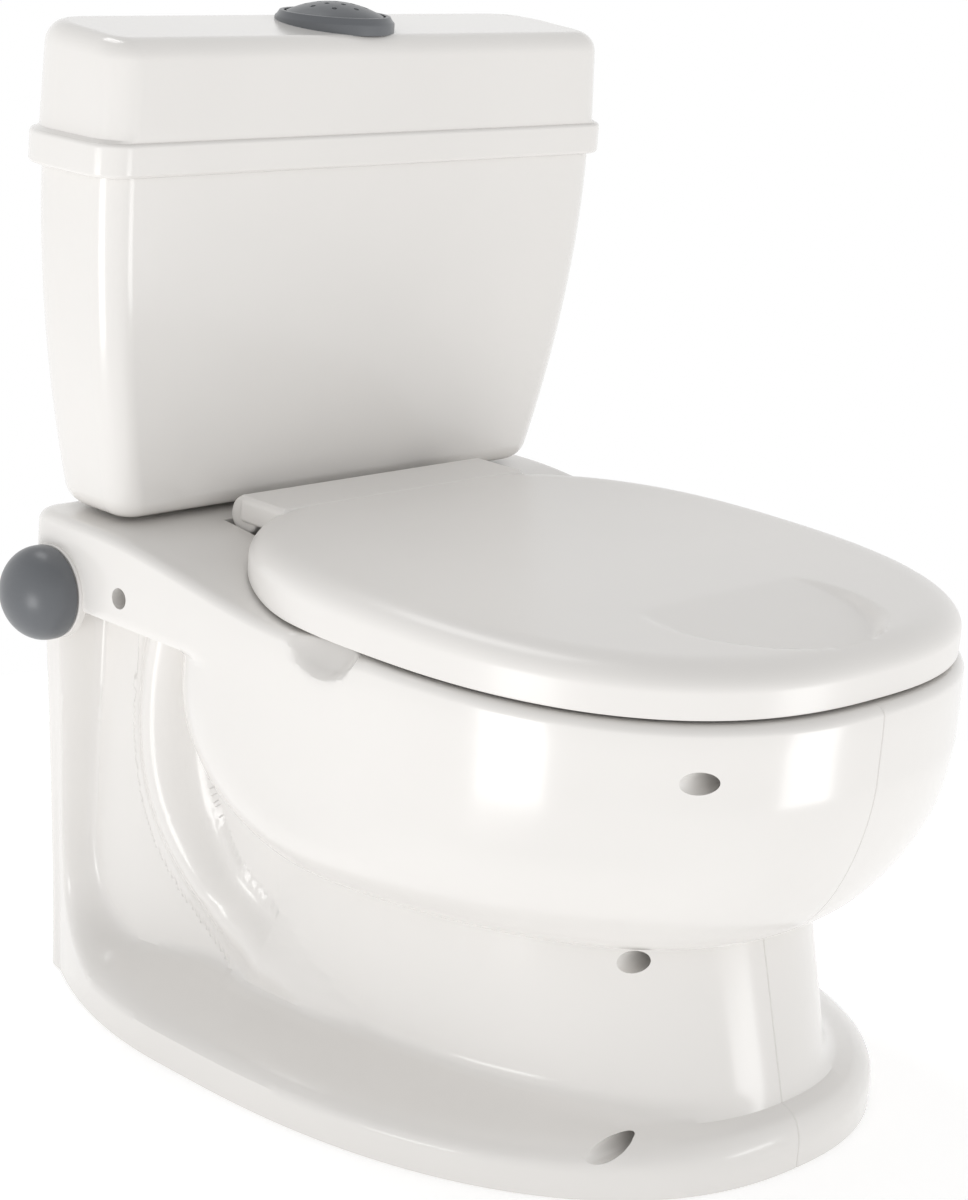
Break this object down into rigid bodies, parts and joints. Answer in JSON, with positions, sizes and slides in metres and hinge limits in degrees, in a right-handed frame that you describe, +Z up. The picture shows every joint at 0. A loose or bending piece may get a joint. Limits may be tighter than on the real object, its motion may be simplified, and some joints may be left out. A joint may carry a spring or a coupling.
{
  "type": "potty training chair",
  "caption": "Child's potty chair shaped like a small toilet, with a lift-out pot, hinged seat and lid, tank with press button, and pull-out roll holder.",
  "frame": {"origin": "on the floor, on the left-right symmetry plane, half way between the front of the rim and the flat back", "axes": "+Z up; the seat's front faces -Y and the tank stands at +Y; the roll holder's knob is on the -X side, a seated child's right"},
  "size_m": [0.2887, 0.341, 0.4015],
  "materials": {
    "shell_white": "glossy off-white polypropylene",
    "seat_white": "glossy off-white polypropylene",
    "pot_white": "smooth white polypropylene",
    "grey_plastic": "satin grey plastic",
    "pale_plastic": "plain pale plastic",
    "rubber_pale": "soft translucent grey rubber",
    "screw_steel": "zinc plated steel",
    "spring_steel": "bright spring wire",
    "board_green": "green circuit board",
    "black_plastic": "black plastic",
    "battery_jacket": "plain printed metal jacket"
  },
  "bodies": {
    "base": {"base_shell_right": "shell_white", "base_shell_left": "shell_white", "base_screws": "screw_steel", "tank_body": "shell_white", "tank_screws": "screw_steel"},
    "pot": {"pot": "pot_white", "hinge_pins": "screw_steel"},
    "seat": {"seat_ring": "seat_white", "seat_bumpers": "rubber_pale"},
    "lid": {"lid": "seat_white", "lid_bumpers": "rubber_pale"},
    "cover": {"tank_cover": "shell_white", "button_bezel": "grey_plastic", "button_spring": "spring_steel", "sound_box": "pale_plastic", "sound_box_screws": "screw_steel", "circuit_board": "board_green", "sound_switch": "black_plastic", "speaker": "black_plastic", "batteries": "battery_jacket", "battery_contacts": "spring_steel", "battery_cover": "pale_plastic", "battery_cover_screw": "screw_steel"},
    "button": {"flush_button": "grey_plastic"},
    "roll_holder": {"roll_spindle": "pale_plastic", "roll_knob": "grey_plastic"}
  },
  "joints": [
    {"name": "pot_lift", "type": "slide", "parent": "base", "child": "pot", "axis": [0, 0, 1], "range_m": [0, 0.125]},
    {"name": "seat_hinge", "type": "hinge", "parent": "pot", "child": "seat", "pos_m": [0, 0.103, 0.203], "axis": [-1, 0, 0], "range_deg": [0, 90]},
    {"name": "lid_hinge", "type": "hinge", "parent": "seat", "child": "lid", "pos_m": [0, 0.103, 0.203], "axis": [1, 0, 0], "range_deg": [-90, 0]},
    {"name": "tank_cover_lift", "type": "slide", "parent": "base", "child": "cover", "axis": [0, 0, 1], "range_m": [0, 0.12]},
    {"name": "flush_button_press", "type": "slide", "parent": "cover", "child": "button", "axis": [0, 0, -1], "range_m": [0, 0.0035], "stiffness_N_per_m": 300, "springref_m": -0.003, "deforming": ["button_spring"]},
    {"name": "roll_holder_slide", "type": "slide", "parent": "base", "child": "roll_holder", "axis": [-1, 0, 0], "range_m": [0, 0.098]}
  ]
}
